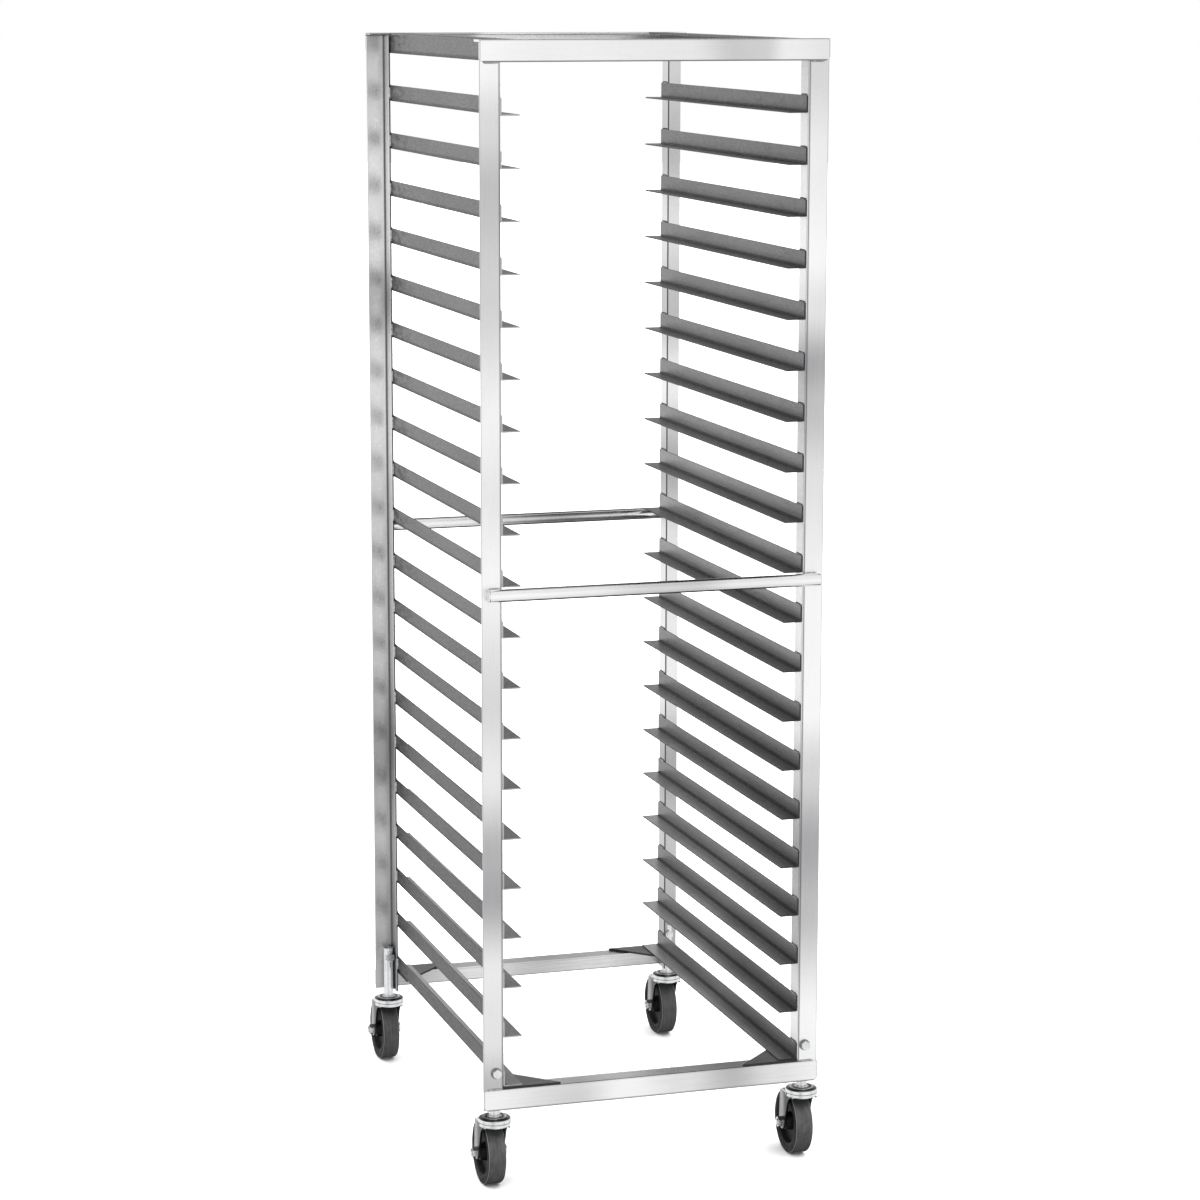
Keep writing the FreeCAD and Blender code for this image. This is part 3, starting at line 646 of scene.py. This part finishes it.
# ---------------------------------------------------------------- floor, light and camera

FLOOR_RADIUS, FLOOR_SIDES = 30.0, 96
FLOOR_GREY, FLOOR_ROUGHNESS = 0.9, 0.9
SUN_ENERGY, SUN_WIDTH = 6.5, 110.0

# The room that the metal mirrors: its darkest level, then a belt round it at eye level, as its
# level and the angles above and below level at which it begins to fade and is gone
ROOM_LEVEL = 0.06
BELT_LEVEL, BELT_FULL, BELT_GONE = 0.75, 22.0, 40.0
# and soft lights, as (direction, angle where it ends, angle where it is full, level)
ROOM_LIGHTS = (
    ((0.30, -0.94, -0.10), 52.0, 26.0, 1.24),
    ((0.29, -0.45, 0.85), 50.0, 28.0, 1.10),
    ((0.29, -0.60, -0.75), 48.0, 26.0, 1.10),
    ((-0.29, 0.94, -0.17), 46.0, 24.0, 1.25),
    ((0.62, 0.78, -0.10), 28.0, 10.0, 1.15),
    ((-0.80, 0.60, -0.10), 42.0, 22.0, 1.25),
    ((-0.90, -0.43, -0.05), 44.0, 24.0, 1.25),
    ((0.98, 0.05, -0.10), 46.0, 24.0, 1.25),
)

CAMERA_PLACE = (-1.60157, -5.20340, 1.80097)
CAMERA_YAW, CAMERA_PITCH, CAMERA_ROLL = 17.33, 10.24, 0.09
CAMERA_SENSOR = 36.0
CAMERA_LENS = 104.8332
CAMERA_SHIFT_Y = 0.01
CAMERA_REACH = 100.0


def studio_floor():
    """A wide pale disc under the rack."""
    mesh = bpy.data.meshes.new("studio_floor")
    turns = [2 * math.pi * k / FLOOR_SIDES for k in range(FLOOR_SIDES)]
    ring = [(FLOOR_RADIUS * math.cos(turn), FLOOR_RADIUS * math.sin(turn), 0.0) for turn in turns]
    mesh.from_pydata(ring, [], [list(range(FLOOR_SIDES))])
    floor = bpy.data.objects.new("studio_floor", mesh)
    bpy.context.scene.collection.objects.link(floor)
    material, _, shader = new_material("studio_floor")
    shader.inputs["Base Color"].default_value = (*grey(FLOOR_GREY), 1)
    shader.inputs["Roughness"].default_value = FLOOR_ROUGHNESS
    mesh.materials.append(material)
    floor.visible_glossy = False
    floor.visible_diffuse = False


def studio_sun():
    """A very wide soft light from above that falls evenly on the whole floor."""
    data = bpy.data.lights.new("overhead", "SUN")
    data.energy = SUN_ENERGY
    data.angle = math.radians(SUN_WIDTH)
    light = bpy.data.objects.new("overhead", data)
    bpy.context.scene.collection.objects.link(light)
    light.visible_glossy = False


def soft_step(tree, value, source, target):
    """A value moved from one range to another with smooth ends."""
    result = mapped(tree, value, source, target)
    result.node.interpolation_type = "SMOOTHSTEP"
    return result


def room_light(tree, direction, end, full, level):
    """A soft round light in the world, seen in a direction."""
    coords = tree.nodes.new("ShaderNodeTexCoord")
    dot = tree.nodes.new("ShaderNodeVectorMath")
    dot.operation = "DOT_PRODUCT"
    dot.inputs[1].default_value = Vector(direction).normalized()
    tree.links.new(coords.outputs["Generated"], dot.inputs[0])
    angles = (math.cos(math.radians(end)), math.cos(math.radians(full)))
    return soft_step(tree, dot.outputs["Value"], angles, (0.0, level))


def studio_world():
    """White to the camera. Other rays see a room: a belt, dark above and below, and soft lights."""
    world = bpy.data.worlds.new("studio")
    bpy.context.scene.world = world
    world.use_nodes = True
    tree = world.node_tree
    tree.nodes.clear()
    output = tree.nodes.new("ShaderNodeOutputWorld")
    mix = tree.nodes.new("ShaderNodeMixShader")
    rays = tree.nodes.new("ShaderNodeLightPath")
    seen = tree.nodes.new("ShaderNodeBackground")
    seen.inputs["Color"].default_value = (1, 1, 1, 1)
    room = tree.nodes.new("ShaderNodeBackground")
    height = absolute(tree, component(tree, "Generated", Z))
    edges = (math.sin(math.radians(BELT_FULL)), math.sin(math.radians(BELT_GONE)))
    total = combined(tree, "MAXIMUM", soft_step(tree, height, edges, (BELT_LEVEL, 0.0)), ROOM_LEVEL)
    for light in ROOM_LIGHTS:
        total = combined(tree, "MAXIMUM", total, room_light(tree, *light))
    tree.links.new(total, room.inputs["Strength"])
    tree.links.new(rays.outputs["Is Camera Ray"], mix.inputs["Fac"])
    tree.links.new(room.outputs["Background"], mix.inputs[1])
    tree.links.new(seen.outputs["Background"], mix.inputs[2])
    tree.links.new(mix.outputs["Shader"], output.inputs["Surface"])


def studio_camera():
    """The photograph's viewing angle: from the front and a little to the left, looking down."""
    data = bpy.data.cameras.new("camera")
    data.sensor_width = CAMERA_SENSOR
    data.lens = CAMERA_LENS
    data.shift_y = CAMERA_SHIFT_Y
    data.clip_end = CAMERA_REACH
    camera = bpy.data.objects.new("camera", data)
    bpy.context.scene.collection.objects.link(camera)
    yaw, pitch, roll = (math.radians(a) for a in (CAMERA_YAW, CAMERA_PITCH, CAMERA_ROLL))
    forward = Vector((math.sin(yaw) * math.cos(pitch), math.cos(yaw) * math.cos(pitch), -math.sin(pitch)))
    level_right = Vector((math.cos(yaw), -math.sin(yaw), 0.0))
    level_up = level_right.cross(forward)
    right = level_right * math.cos(roll) + level_up * math.sin(roll)
    up = level_up * math.cos(roll) - level_right * math.sin(roll)
    axes = Matrix((right, up, -forward)).transposed()
    camera.matrix_world = Matrix.Translation(Vector(CAMERA_PLACE)) @ axes.to_4x4()
    bpy.context.scene.camera = camera


studio_floor()
studio_sun()
studio_world()
studio_camera()
bpy.context.scene.view_settings.view_transform = "Standard"
